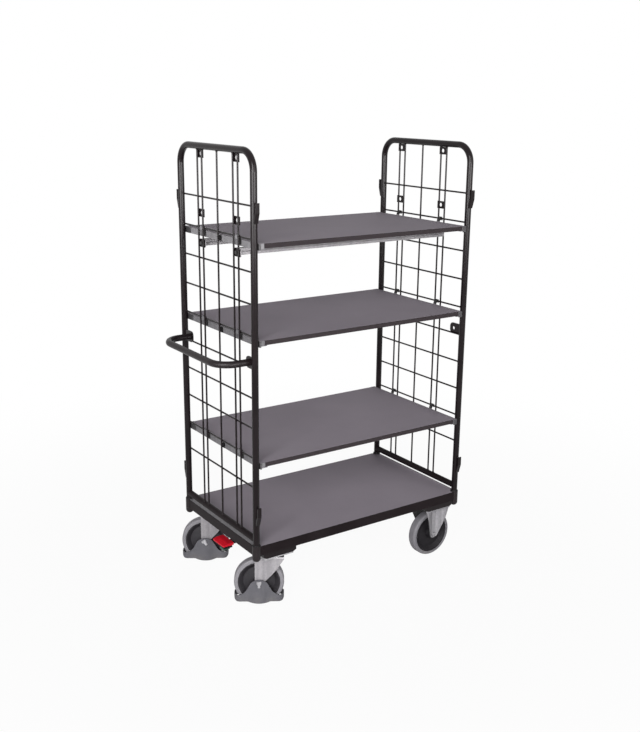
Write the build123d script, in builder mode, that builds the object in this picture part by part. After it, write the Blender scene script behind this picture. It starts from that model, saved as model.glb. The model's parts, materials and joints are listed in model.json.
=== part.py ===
from build123d import *
import os
from math import atan, cos, degrees, radians, sin, tan

os.makedirs("parts", exist_ok=True)

# Shelf trolley: a wheeled base, two plug-in mesh end walls, three hook-in shelves, a push handle
# and a foot brake that acts on both swivel casters. Millimetres, +Z up, floor at Z = 0, +X towards
# the fixed casters. The origin lies on the floor under the middle of the whole outline.

# Clearances
weld_gap = 0.1            # between welded or clamped pieces that keep their own solids
slip_gap = 0.3            # between faces that slide past each other
running_gap = 0.05        # radial, round shaft in a bore

# End walls
wall_inset = 9.0          # tube axis inside the base's end
post_inset = 10.0         # post axis inside the base's long side
tube_d = 22.0
tube_wall = 2.0
tube_bend = 60.0          # bend radius on the tube's axis
top_tube_rise = 1259.0    # top tube's axis above the deck
crossbar_rise = 23.0      # crossbar's axis above the deck
wire_d = 6.0
wire_weld = 0.6           # how deep crossing wires melt into each other
wire_pitch = 100.0
wire_rows = 10
highest_wire_drop = 160.6 # highest row below the top tube's axis
middle_wire_y = -18.0     # handle wall, measured from the wall's middle
pair_centres_y = (-133.0, 97.0)
pair_gap = 30.0           # between the two wires of a pair

# Welded plates on the walls
plate_width = 34.0
plate_height = 26.0
plate_thick = 3.0
plate_hole_d = 14.0
plate_drops = (24.2, 212.5, 311.0)    # hole plates below the top tube's axis
upper_hook_drop = 211.0   # upper gate hooks below the top tube's axis
lower_hook_rise = 78.0    # lower gate hooks above the deck
gate_hook_height = 62.0
gate_hook_reach = 11.0
gate_hook_width = 14.0
gate_hook_thick = 4.0
lug_rise = 615.0
lug_height = 38.0
lug_offset = 38.0         # lug hole from the post's axis, before the handle's shift
lug_end = 18.0            # lug beyond its hole
lug_thick = 4.0
lug_hole_d = 12.0

# Push handle
handle_reach = 106.5      # bar's axis from the wall
handle_shift = -8.0       # handle's middle from the wall's middle
handle_bend = 60.0
handle_plug = 24.0        # closed tube end that takes the bolt
handle_bolt_d = 10.0
handle_bolt_grip = 18.0

# Base
base_length = 874.0
base_width = 494.0
rail_height = 32.5
rail_wall = 3.0
rail_ledge = 18.0
deck_thick = 16.0
socket_d = 28.0
socket_above = 3.0
socket_below = 54.5
socket_dome = 13.0
post_seat_depth = 36.0

# Channels that carry the casters
swivel_inset = 94.0       # kingpins from the base's handle end
fixed_inset = 87.5        # fixed axles from the base's other end
side_inset = 55.0         # caster centres from the base's long sides
channel_width = 127.0
channel_bottom = 50.0     # below the deck
channel_wall = 3.0
channel_bevel_x = 12.0
channel_bevel_z = 6.0
kingpin_window_d = 40.0

# Casters
wheel_d = 169.0
caster_build = 28.5       # from the top of the wheel to the top of the caster's plate
tyre_width = 34.0
tyre_ring = 13.0
tyre_round = 7.0
hub_boss_d = 42.0
hub_web = 9.0
hub_rim_width = 30.0
axle_d = 12.0
axle_sleeve_d = 15.0
fork_inside = 48.0        # between the legs at the axle
fork_sheet = 4.0
fork_tip_r = 14.0
plate_x = 114.0
plate_y = 108.0
caster_plate_thick = 5.0
plate_corner = 9.0
bolt_pitch_x = 76.0
bolt_pitch_y = 56.0
caster_bolt_d = 8.0
caster_hole_d = 9.0
caster_head_d = 15.0
bolt_head_d = 17.0
bolt_head_h = 5.0
nut_h = 8.0

# Swivel casters
swivel_turn = 32.0        # degrees, how far both swivel casters stand turned
trail = 42.0              # axle behind the kingpin
bearing_h = 5.0
bearing_d = 72.0
crown_thick = 5.0
crown_reach = 42.0        # crown beyond the kingpin's axis
crown_bend = 8.0          # outer radius where a leg bends into the crown
fork_flare = 9.0          # how far a leg steps out towards the head
kingpin_d = 22.0
kingpin_flange_d = 36.0
kingpin_flange_h = 5.0
kingpin_cap_d = 30.0
kingpin_cap_h = 3.0

# Fixed casters
fixed_tip_r = 16.5        # half width of a leg at the axle
fixed_tip_drop = 12.5     # leg below the axle
fixed_web_half = 10.0     # flat strip down the middle of a leg
fixed_flare = 20.0        # how far the sides of a leg stand out from that strip
fixed_lip = 11.0          # straight edge of each side
fixed_leg_half = 52.0

# Foot guards
guard_length = 168.0
guard_width = 58.0
guard_bulge = 7.0         # how far the middle of each side stands out
guard_bulge_half = 5.0
guard_bulge_turn = 20.0   # degrees, angle of the two arcs that lead out to the bulge
guard_wall = 3.0
guard_corner = 22.0
guard_top = 40.5          # skirt's upper edge above the floor
guard_low = 18.5
guard_lobe_low = 13.5
guard_lobe_half = 44.0    # lower lobe of each side, from its middle to where it ends
guard_toe = 11.0
guard_brim = 6.0          # straight part of the upper edge at each end
guard_ear_rise = 16.0     # ear above the axle
guard_ear_r = 34.0
guard_lean = 61.6         # degrees, steepness of a cheek's straight flank
guard_boss_d = 28.0
key_width = 16.0          # T-shaped key plate that stops the axle from turning
key_height = 22.0
key_bar = 8.0
key_stem = 8.0
key_thick = 4.0
rear_key_turn = 38.0      # degrees, how the rear caster's key stands turned

# Foot brake
brake_travel_deg = 16.0
brake_arm = 22.0          # cam nose from the shaft's axis
brake_shaft_d = 14.0
brake_shaft_overhang = 14.0
cam_hub_d = 20.0
cam_nose_d = 10.0
cam_width = 12.0
plunger_d = 10.0
plunger_head_d = 18.0
plunger_head_h = 3.0
shoe_length = 28.0
shoe_width = 30.0
shoe_gap = 0.4
shoe_free = 1.0           # between the shoe and the kingpin's flange
bracket_y = 90.0
bracket_thick = 4.0
bracket_width = 30.0
bracket_over = 10.0       # bracket above the shaft's axis
lever_width = 30.0
lever_thick = 6.0
pedal_outer = 119.0       # pedal's outer edge from the shaft's axis
pedal_length = 43.0
pedal_width = 76.0
pedal_shift = 4.0         # pedal's middle from the lever's middle, towards the rear
pedal_thick = 9.0
pedal_slope = 20.0        # outer part of the top that slopes down to the nose
pedal_nose = 4.0
pedal_drop = 75.0         # pedal's top face below the deck
carrier_inset = 5.0       # lever's broad end inside the pedal's outline
carrier_thick = 10.0
release_length = 28.0
release_width = 26.0
release_thick = 7.0

# Shelves
shelf_thick = 15.0
shelf_end_gap = 1.5       # between a shelf and the posts
shelf_hang = 11.0         # shelf's top below the wire that it hangs on
shelf_steel = 2.0
shelf_end_height = 20.0
shelf_flange = 26.0
shelf_cheek = 17.0
hook_width = 14.0
hook_steel = 3.0
hook_tip = 7.0            # hook's tip below the wire's axis

# Tie rails under the top shelf
tie_rail_y = 115.0
tie_rail_width = 16.0
tie_rail_height = 22.0
tie_rail_groove = 2.0
tie_flange_height = 22.0
tie_flange_thick = 3.0
tie_bolt_d = 8.0
tie_head_d = 13.0
tie_head_h = 5.0

# Places that follow from the sizes above
tube_r = tube_d / 2
socket_r = socket_d / 2
wire_r = wire_d / 2
wheel_r = wheel_d / 2
middle_x = (handle_reach + tube_r - socket_r) / 2
half_length = base_length / 2
half_width = base_width / 2
wall_spacing = base_length - 2 * wall_inset
post_spacing = base_width - 2 * post_inset
post_y = post_spacing / 2
swivel_x = middle_x - half_length + swivel_inset
fixed_x = middle_x + half_length - fixed_inset
caster_y = half_width - side_inset
deck_z = wheel_d + caster_build + channel_bottom
lug_round = 0.35 * lug_height
lowest_wire_rise = top_tube_rise - highest_wire_drop - (wire_rows - 1) * wire_pitch
plate_rises = [top_tube_rise - drop for drop in plate_drops]
gate_hook_rises = (top_tube_rise - upper_hook_drop, lower_hook_rise)
wire_layer = wire_r - wire_weld / 2
channel_floor = deck_z - channel_bottom
caster_plate_z = channel_floor - caster_plate_thick
crown_top = caster_plate_z - bearing_h
crown_low = crown_top - crown_thick
fork_half = fork_inside / 2
brake_travel = brake_arm * sin(radians(brake_travel_deg))
plunger_top = channel_floor + kingpin_cap_h + slip_gap + brake_travel + slip_gap + plunger_head_h
shaft_z = plunger_top + slip_gap + cam_nose_d / 2
shaft_x = swivel_x + brake_arm


def save(piece, name):
    """Label a finished piece and write it as one STEP file."""
    piece.part.label = name
    export_step(piece.part, f"parts/{name}.step")


# Base frame


def edge_rail(inward, origin, length):
    """Rolled profile with an upstand that edges the board, a ledge under it and a bottom flange."""
    section = Plane(origin=origin, x_dir=inward, z_dir=Vector(*inward).cross(Vector(0, 0, 1)))
    with BuildPart() as rail:
        with BuildSketch(section):
            Rectangle(rail_wall, rail_height, align=(Align.MIN, Align.MAX))
            with Locations((0, -deck_thick)):
                Rectangle(rail_ledge, rail_wall, align=(Align.MIN, Align.MAX))
            with Locations((0, -rail_height)):
                Rectangle(rail_ledge, rail_wall, align=(Align.MIN, Align.MIN))
        extrude(amount=length / 2, both=True)
        with Locations(*socket_places(deck_z)):
            Cylinder(socket_r + weld_gap, 4 * rail_height, mode=Mode.SUBTRACT)
    return rail


def socket_places(height):
    """The four corner points where the wall posts stand."""
    return [
        (middle_x + end * wall_spacing / 2, side * post_y, height)
        for end in (-1, 1)
        for side in (-1, 1)
    ]


save(edge_rail((0, 1, 0), (middle_x, -half_width, deck_z), wall_spacing), "front_rail")
save(edge_rail((0, -1, 0), (middle_x, half_width, deck_z), wall_spacing), "rear_rail")
save(edge_rail((1, 0, 0), (middle_x - half_length, 0, deck_z), post_spacing), "handle_end_rail")
save(edge_rail((-1, 0, 0), (middle_x + half_length, 0, deck_z), post_spacing), "fixed_end_rail")

with BuildPart() as corner_sockets:
    with Locations(*socket_places(deck_z + socket_above)):
        Cylinder(socket_r, socket_above + socket_below, align=(Align.CENTER, Align.CENTER, Align.MAX))
    fillet(corner_sockets.edges().group_by(Axis.Z)[0], radius=socket_dome)
    with Locations(*socket_places(deck_z + socket_above)):
        Cylinder(
            tube_r + weld_gap,
            socket_above + post_seat_depth,
            align=(Align.CENTER, Align.CENTER, Align.MAX),
            mode=Mode.SUBTRACT,
        )
save(corner_sockets, "corner_sockets")

with BuildPart() as deck_board:
    with BuildSketch(Plane.XY.offset(deck_z)):
        with Locations((middle_x, 0)):
            Rectangle(base_length - 2 * (rail_wall + weld_gap), base_width - 2 * (rail_wall + weld_gap))
        with Locations(*[place[:2] for place in socket_places(0)]):
            Circle(socket_r + weld_gap, mode=Mode.SUBTRACT)
    extrude(amount=-deck_thick)
save(deck_board, "deck_board")


def channel_section(inset):
    """Corner points of a channel's section, seen along Y, inset by a sheet's thickness."""
    half = channel_width / 2 - inset
    top = -rail_height
    low = inset - channel_bottom
    return [
        (-half, top),
        (-half, low + channel_bevel_z),
        (channel_bevel_x - half, low),
        (half - channel_bevel_x, low),
        (half, low + channel_bevel_z),
        (half, top),
    ]


def bolt_places(x):
    """Bolt positions of the two casters on one channel."""
    return [
        (x + bolt_x * bolt_pitch_x / 2, side * caster_y + bolt_y * bolt_pitch_y / 2)
        for side in (-1, 1)
        for bolt_x in (-1, 1)
        for bolt_y in (-1, 1)
    ]


def caster_channel(x, windows):
    """Tray-shaped sheet channel across the base, closed at both ends, with bolt holes for two casters."""
    section = Plane(origin=(x, 0, deck_z), x_dir=(1, 0, 0), z_dir=(0, -1, 0))
    with BuildPart() as channel:
        with BuildSketch(section):
            with BuildLine():
                Polyline(*channel_section(0), close=True)
            make_face()
        extrude(amount=half_width, both=True)
        with BuildSketch(section):
            with BuildLine():
                Polyline(*channel_section(channel_wall), close=True)
            make_face()
        extrude(amount=half_width - channel_wall, both=True, mode=Mode.SUBTRACT)
        with BuildSketch(Plane.XY.offset(channel_floor)):
            with Locations(*bolt_places(x)):
                Circle(caster_hole_d / 2)
            if windows:
                with Locations((x, -caster_y), (x, caster_y)):
                    Circle(kingpin_window_d / 2)
                with Locations((shaft_x, 0)):
                    Rectangle(lever_thick * 5, lever_width + 2 * lever_thick)
        extrude(amount=channel_wall, mode=Mode.SUBTRACT)
        if windows:
            with BuildSketch(Plane.XY.offset(channel_floor + channel_wall)):
                with Locations((shaft_x, -bracket_y), (shaft_x, bracket_y)):
                    Rectangle(bracket_width, bracket_thick)
            extrude(amount=shaft_z + bracket_over - channel_floor - channel_wall)
            with Locations(Location((shaft_x, 0, shaft_z), (90, 0, 0))):
                Cylinder(brake_shaft_d / 2 + running_gap, 4 * bracket_y, mode=Mode.SUBTRACT)
    return channel


save(caster_channel(swivel_x, True), "swivel_channel")
save(caster_channel(fixed_x, False), "fixed_channel")

with BuildPart() as caster_bolts:
    for x in (swivel_x, fixed_x):
        with BuildSketch(Plane.XY.offset(caster_plate_z - bolt_head_h)):
            with Locations(*bolt_places(x)):
                Circle(caster_head_d / 2)
        extrude(amount=bolt_head_h)
        with BuildSketch(Plane.XY.offset(caster_plate_z)):
            with Locations(*bolt_places(x)):
                Circle(caster_bolt_d / 2)
        extrude(amount=caster_plate_thick + channel_wall)
        with BuildSketch(Plane.XY.offset(channel_floor + channel_wall)):
            with Locations(*bolt_places(x)):
                RegularPolygon(caster_head_d / 2, 6)
        extrude(amount=nut_h)
save(caster_bolts, "caster_bolts")

# End walls. The plain wall is the handle wall turned half a turn about the vertical, so a place is
# given as (outward, along) on the handle wall and turned by the wall's sign.


def wall_point(sign, outward, along, rise):
    """Point on a wall: outward from the tube plane, along the wall and above the deck."""
    return (middle_x + sign * (wall_spacing / 2 + outward), -sign * along, deck_z + rise)


def wall_frame(sign):
    """Bent tube with two posts that stand in the corner sockets."""
    foot = weld_gap - post_seat_depth
    with BuildPart() as frame:
        with BuildLine() as bend:
            FilletPolyline(
                wall_point(sign, 0, -post_y, foot),
                wall_point(sign, 0, -post_y, top_tube_rise),
                wall_point(sign, 0, post_y, top_tube_rise),
                wall_point(sign, 0, post_y, foot),
                radius=tube_bend,
            )
        with BuildSketch(Plane(origin=bend.line @ 0, z_dir=bend.line % 0)):
            Circle(tube_r)
            Circle(tube_r - tube_wall, mode=Mode.SUBTRACT)
        sweep()
    return frame


def wall_crossbar(sign):
    """Lower tube between the posts, coped to them."""
    with BuildPart() as bar:
        section = Plane(origin=wall_point(sign, 0, 0, crossbar_rise), z_dir=(0, 1, 0))
        with BuildSketch(section):
            Circle(tube_r)
            Circle(tube_r - tube_wall, mode=Mode.SUBTRACT)
        extrude(amount=post_y, both=True)
        with Locations(wall_point(sign, 0, -post_y, crossbar_rise), wall_point(sign, 0, post_y, crossbar_rise)):
            Cylinder(tube_r + weld_gap, 2 * tube_d, mode=Mode.SUBTRACT)
    return bar


def wall_mesh(sign):
    """Welded wires: rows on the inner side, uprights on the outer side, two pairs and a middle wire."""
    uprights = [middle_wire_y]
    for centre in pair_centres_y:
        uprights += [centre - pair_gap / 2, centre + pair_gap / 2]
    low = crossbar_rise + tube_r + weld_gap
    high = top_tube_rise - tube_r - weld_gap
    with BuildPart() as mesh:
        rows = Plane(origin=wall_point(sign, -wire_layer, 0, 0), x_dir=(1, 0, 0), z_dir=(0, -1, 0))
        with BuildSketch(rows):
            with Locations(*[(0, lowest_wire_rise + row * wire_pitch) for row in range(wire_rows)]):
                Circle(wire_r)
        extrude(amount=post_y - tube_r - weld_gap, both=True)
        columns = Plane(origin=wall_point(sign, wire_layer, 0, low))
        with BuildSketch(columns):
            with Locations(*[(0, -sign * along) for along in uprights]):
                Circle(wire_r)
        extrude(amount=high - low)
    return mesh


def wall_hole_plates(sign):
    """Drilled plates welded across the wire pairs."""
    face = wire_layer - wire_r
    with BuildPart() as plates:
        section = Plane(origin=wall_point(sign, face, 0, 0), x_dir=(0, -sign, 0), z_dir=(-sign, 0, 0))
        with BuildSketch(section):
            with Locations(*[(along, rise) for along in pair_centres_y for rise in plate_rises]):
                Rectangle(plate_width, plate_height)
                Circle(plate_hole_d / 2, mode=Mode.SUBTRACT)
        extrude(amount=plate_thick)
    return plates


def wall_gate_hooks(sign):
    """Upward-open hooks on the outer side of each post, where a side gate would hang."""
    outer = tube_r + gate_hook_reach
    inner = outer - gate_hook_thick
    waist = gate_hook_height / 2
    with BuildPart() as hooks:
        for side in (-1, 1):
            for rise in gate_hook_rises:
                section = Plane(
                    origin=wall_point(sign, 0, side * post_y, rise),
                    x_dir=(0, -sign * side, 0),
                    z_dir=(-sign * side, 0, 0),
                )
                with BuildSketch(section):
                    with BuildLine():
                        Polyline(
                            (0, 0),
                            (tube_r + gate_hook_thick / 2, 0),
                            (outer, waist),
                            (outer, gate_hook_height),
                            (inner, gate_hook_height),
                            (inner, waist + gate_hook_thick / 2),
                            (tube_r, waist / 2 + gate_hook_thick),
                            (0, waist / 2 + gate_hook_thick),
                            close=True,
                        )
                    make_face()
                extrude(amount=gate_hook_width / 2, both=True)
                with Locations(wall_point(sign, 0, side * post_y, rise)):
                    Cylinder(tube_r + weld_gap, 3 * gate_hook_height, mode=Mode.SUBTRACT)
    return hooks


def wall_lugs(sign):
    """Lugs on the inner side of the posts, drilled for a push handle."""
    face = wire_r - wire_layer + weld_gap
    with BuildPart() as lugs:
        for side in (-1, 1):
            hole = lug_offset - side * handle_shift
            section = Plane(
                origin=wall_point(sign, face, side * post_y, lug_rise),
                x_dir=(0, sign * side, 0),
                z_dir=(sign * side, 0, 0),
            )
            with BuildSketch(section) as lug:
                with Locations((tube_r + weld_gap, 0)):
                    Rectangle(hole + lug_end - tube_r - weld_gap, lug_height, align=(Align.MIN, Align.CENTER))
                fillet(lug.vertices().group_by(Axis.X)[-1], radius=lug_round)
                with Locations((hole, 0)):
                    Circle(lug_hole_d / 2, mode=Mode.SUBTRACT)
            extrude(amount=lug_thick, dir=(sign, 0, 0))
    return lugs


for sign, wall in ((-1, "handle_wall"), (1, "plain_wall")):
    save(wall_frame(sign), f"{wall}_frame")
    save(wall_crossbar(sign), f"{wall}_crossbar")
    save(wall_mesh(sign), f"{wall}_mesh")
    save(wall_hole_plates(sign), f"{wall}_hole_plates")
    save(wall_gate_hooks(sign), f"{wall}_gate_hooks")
    save(wall_lugs(sign), f"{wall}_lugs")

# Push handle

handle_half = post_y - lug_offset
handle_sides = (handle_shift - handle_half, handle_shift + handle_half)
lug_outer = wire_r - wire_layer + weld_gap + lug_thick
handle_ends = [wall_point(-1, lug_outer, along, lug_rise) for along in handle_sides]

with BuildPart() as push_handle:
    with BuildLine() as grip:
        FilletPolyline(
            handle_ends[0],
            wall_point(-1, handle_reach, handle_sides[0], lug_rise),
            wall_point(-1, handle_reach, handle_sides[1], lug_rise),
            handle_ends[1],
            radius=handle_bend,
        )
    with BuildSketch(Plane(origin=grip.line @ 0, z_dir=grip.line % 0)):
        Circle(tube_r)
        Circle(tube_r - tube_wall, mode=Mode.SUBTRACT)
    sweep()
    for end in handle_ends:
        with BuildSketch(Plane(origin=end, z_dir=(-1, 0, 0))):
            Circle(tube_r)
        extrude(amount=handle_plug)
        with BuildSketch(Plane(origin=end, z_dir=(-1, 0, 0))):
            Circle(handle_bolt_d / 2 + weld_gap)
        extrude(amount=handle_bolt_grip, mode=Mode.SUBTRACT)
save(push_handle, "push_handle")

with BuildPart() as handle_bolts:
    for end in handle_ends:
        head_face = Plane(origin=end, z_dir=(1, 0, 0)).offset(lug_thick)
        with BuildSketch(head_face):
            RegularPolygon(bolt_head_d / 2, 6)
        extrude(amount=bolt_head_h)
        with BuildSketch(head_face):
            Circle(handle_bolt_d / 2)
        extrude(amount=slip_gap - lug_thick - handle_bolt_grip)
save(handle_bolts, "handle_bolts")

# Shelves

shelf_half = wall_spacing / 2 - tube_r - shelf_end_gap


def shelf_board(top):
    """Board between the two steel ends."""
    with BuildPart() as board:
        with BuildSketch(Plane.XY.offset(top)):
            with Locations((middle_x, 0)):
                Rectangle(
                    2 * (shelf_half - shelf_steel - weld_gap),
                    base_width - 2 * (shelf_steel + weld_gap),
                )
        extrude(amount=-shelf_thick)
    return board


def shelf_ends(top):
    """Pressed steel ends with a ledge under the board, corner cheeks and hooks over a wall's wire."""
    wire_in = wall_spacing / 2 - wire_layer
    bend_r = wire_r + slip_gap
    with BuildPart() as ends:
        for sign in (-1, 1):
            section = Plane(origin=(middle_x, 0, top), x_dir=(sign, 0, 0), z_dir=(0, -sign, 0))
            with BuildSketch(section):
                with Locations((shelf_half, 0)):
                    Rectangle(shelf_steel, shelf_end_height, align=(Align.MAX, Align.MAX))
                with Locations((shelf_half, -shelf_thick - weld_gap)):
                    Rectangle(shelf_flange, shelf_steel, align=(Align.MAX, Align.MAX))
            extrude(amount=half_width, both=True)
            with BuildSketch(section.offset(-half_width), section.offset(half_width - shelf_steel)):
                with Locations((shelf_half, 0)):
                    Rectangle(shelf_cheek, shelf_thick + shelf_steel, align=(Align.MAX, Align.MAX))
            extrude(amount=shelf_steel)
            for along in pair_centres_y:
                hook_plane = section.offset(along)
                with BuildSketch(hook_plane):
                    with BuildLine():
                        foot = Line((shelf_half, -shelf_thick), (shelf_half, 0))
                        rise = Line(foot @ 1, (wire_in - bend_r - hook_steel, shelf_hang))
                        over = ThreePointArc(
                            rise @ 1,
                            (wire_in, shelf_hang + bend_r + hook_steel),
                            (wire_in + bend_r + hook_steel, shelf_hang),
                        )
                        drop = Line(over @ 1, (wire_in + bend_r + hook_steel, shelf_hang - hook_tip))
                        tip = Line(drop @ 1, (wire_in + bend_r, shelf_hang - hook_tip))
                        back = Line(tip @ 1, (wire_in + bend_r, shelf_hang))
                        under = ThreePointArc(
                            back @ 1,
                            (wire_in, shelf_hang + bend_r),
                            (wire_in - bend_r, shelf_hang),
                        )
                        fall = Line(under @ 1, (shelf_half + hook_steel, 0))
                        heel = Line(fall @ 1, (shelf_half + hook_steel, -shelf_thick))
                        Line(heel @ 1, foot @ 0)
                    make_face()
                extrude(amount=hook_width / 2, both=True)
    return ends


for name, row in (("top", 8), ("middle", 5), ("lower", 1)):
    shelf_top = deck_z + lowest_wire_rise + row * wire_pitch - shelf_hang
    save(shelf_board(shelf_top), f"{name}_shelf_board")
    save(shelf_ends(shelf_top), f"{name}_shelf_ends")

# Tie rails

tie_face = wall_spacing / 2 - (wire_r - wire_layer) - plate_thick
tie_z = deck_z + plate_rises[-1]


def tie_bolt_ys(side, sign):
    """Y of the bolt at one end of a tie rail: the nearer wire pair of that wall."""
    return min((-sign * along for along in pair_centres_y), key=lambda y: abs(y - side * tie_rail_y))


def tie_rail(side):
    """Grooved hollow rail with a drilled flange at each end."""
    half = tie_face - tie_flange_thick
    with BuildPart() as rail:
        section = Plane(origin=(middle_x, side * tie_rail_y, tie_z), x_dir=(0, 1, 0), z_dir=(1, 0, 0))
        with BuildSketch(section):
            Rectangle(tie_rail_width, tie_rail_height)
            with Locations((-tie_rail_width / 2, 0), (tie_rail_width / 2, 0)):
                Circle(tie_rail_groove, mode=Mode.SUBTRACT)
            offset(amount=-shelf_steel, mode=Mode.SUBTRACT)
        extrude(amount=half, both=True)
        for sign in (-1, 1):
            bolt_y = tie_bolt_ys(side, sign)
            rail_y = side * tie_rail_y - bolt_y
            near = min(rail_y - tie_rail_width / 2, -plate_width / 2)
            far = max(rail_y + tie_rail_width / 2, plate_width / 2)
            flange = Plane(
                origin=(middle_x + sign * half, bolt_y, tie_z), x_dir=(0, 1, 0), z_dir=(1, 0, 0)
            )
            with BuildSketch(flange):
                with Locations(((near + far) / 2, 0)):
                    Rectangle(far - near, tie_flange_height)
                Circle(tie_bolt_d / 2 + weld_gap, mode=Mode.SUBTRACT)
            extrude(amount=sign * tie_flange_thick)
    return rail


save(tie_rail(-1), "front_tie_rail")
save(tie_rail(1), "rear_tie_rail")

with BuildPart() as tie_rail_bolts:
    for sign in (-1, 1):
        for side in (-1, 1):
            seat = Plane(
                origin=(middle_x + sign * (tie_face + plate_thick), tie_bolt_ys(side, sign), tie_z),
                z_dir=(sign, 0, 0),
            )
            with BuildSketch(seat):
                RegularPolygon(tie_head_d / 2, 6)
            extrude(amount=tie_head_h)
            with BuildSketch(seat):
                Circle(tie_bolt_d / 2)
            extrude(amount=-(plate_thick + tie_flange_thick))
            with BuildSketch(seat.offset(-(plate_thick + tie_flange_thick))):
                RegularPolygon(tie_head_d / 2, 6)
            extrude(amount=-tie_head_h)
save(tie_rail_bolts, "tie_rail_bolts")

# Casters. A caster's own plane lies on the floor under its axle, with x towards the kingpin.


def side_of(base, height=0.0):
    """Upright plane through a wheel's middle, x along the rolling direction and y up."""
    level = base.offset(height)
    return Plane(origin=level.origin, x_dir=base.x_dir, z_dir=-base.y_dir)


def wheel_tyre(base):
    """Elastic tyre ring."""
    with BuildPart() as tyre:
        with BuildSketch(base.offset(wheel_r)) as section:
            with Locations((wheel_r, 0)):
                Rectangle(tyre_ring - weld_gap, tyre_width, align=(Align.MAX, Align.CENTER))
            fillet(section.vertices().group_by(Axis.X)[-1], radius=tyre_round)
        revolve(axis=Axis(base.offset(wheel_r).origin, base.y_dir))
    return tyre


def wheel_hub(base):
    """Dished hub with a boss, a thin web and a rim."""
    rim_r = wheel_r - tyre_ring
    boss_r = hub_boss_d / 2
    boss_half = fork_half - 2 * slip_gap
    with BuildPart() as hub:
        with BuildSketch(base.offset(wheel_r)):
            with BuildLine():
                Polyline(
                    (axle_sleeve_d / 2 + running_gap, 0),
                    (axle_sleeve_d / 2 + running_gap, boss_half),
                    (boss_r - hub_web / 2, boss_half),
                    (boss_r, hub_web),
                    (rim_r - 2 * hub_web, hub_web / 2),
                    (rim_r - hub_web / 2, hub_rim_width / 2),
                    (rim_r, hub_rim_width / 2),
                    (rim_r, 0),
                    close=True,
                )
            make_face()
            mirror(about=Plane.XZ)
        revolve(axis=Axis(base.offset(wheel_r).origin, base.y_dir))
    return hub


def wheel_axle(bases, clamp_half, head_h, key_turn=None):
    """Axles with a sleeve between the legs, a head and a nut outside them, and a key plate if turned."""
    with BuildPart() as axle:
        for base in bases:
            side = side_of(base, wheel_r)
            with BuildSketch(side):
                Circle(axle_sleeve_d / 2)
            extrude(amount=fork_half - weld_gap, both=True)
            with BuildSketch(side):
                Circle(axle_d / 2)
            extrude(amount=clamp_half + weld_gap, both=True)
            for turn in (-1, 1):
                with BuildSketch(side.offset(turn * (clamp_half + weld_gap))):
                    if key_turn is None or turn < 0:
                        RegularPolygon(bolt_head_d / 2, 6)
                    else:
                        with Locations(Location((0, 0), key_turn)):
                            with Locations((0, key_height / 2)):
                                Rectangle(key_width, key_bar, align=(Align.CENTER, Align.MAX))
                            Rectangle(key_stem, key_height)
                extrude(amount=turn * head_h)
    return axle


def caster_plate_sketch():
    """Rounded plate outline with its four bolt holes."""
    RectangleRounded(plate_x, plate_y, plate_corner)
    with GridLocations(bolt_pitch_x, bolt_pitch_y, 2, 2):
        Circle(caster_hole_d / 2, mode=Mode.SUBTRACT)


def fixed_fork(base):
    """Pressed fork: flat plate and two V-shaped legs that step in to the axle."""
    shoulder = caster_plate_z - fork_sheet
    flared = fork_half + fixed_flare
    bend_x = fixed_leg_half - fixed_lip
    with BuildPart() as fork:
        with BuildSketch(side_of(base)):
            with BuildLine():
                flank = Polyline(
                    (fixed_tip_r, wheel_r),
                    (fixed_leg_half, shoulder),
                    (fixed_leg_half, caster_plate_z),
                    (-fixed_leg_half, caster_plate_z),
                    (-fixed_leg_half, shoulder),
                    (-fixed_tip_r, wheel_r),
                )
                ThreePointArc(flank @ 1, (0, wheel_r - fixed_tip_drop), flank @ 0)
            make_face()
        extrude(amount=plate_y / 2, both=True)
        with BuildSketch(base):
            with BuildLine():
                Polyline(
                    (0, fork_half),
                    (fixed_web_half, fork_half),
                    (bend_x, flared),
                    (fixed_leg_half, flared),
                    (fixed_leg_half, flared + fork_sheet),
                    (bend_x - fork_sheet / 4, flared + fork_sheet),
                    (fixed_web_half - fork_sheet / 4, fork_half + fork_sheet),
                    (0, fork_half + fork_sheet),
                )
                mirror(about=Plane.YZ)
            make_face()
            mirror(about=Plane.XZ)
        extrude(amount=caster_plate_z, mode=Mode.INTERSECT)
        with BuildSketch(base.offset(caster_plate_z)):
            caster_plate_sketch()
        extrude(amount=caster_plate_thick)
        with BuildSketch(side_of(base, wheel_r)):
            Circle(axle_d / 2 + weld_gap)
        extrude(amount=plate_y / 2, both=True, mode=Mode.SUBTRACT)
    return fork


def leg_plan(reach):
    """Corner points of one swivel leg seen from above, from its back edge to the head."""
    step_start = fork_tip_r + fork_sheet
    step_end = step_start + 3 * fork_flare
    inner = fork_half
    outer = fork_half + fork_flare
    return [
        (-fork_tip_r, inner),
        (step_start, inner),
        (step_end, outer),
        (reach, outer),
        (reach, outer + fork_sheet),
        (step_end - fork_sheet / 4, outer + fork_sheet),
        (step_start - fork_sheet / 4, inner + fork_sheet),
        (-fork_tip_r, inner + fork_sheet),
    ]


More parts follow.
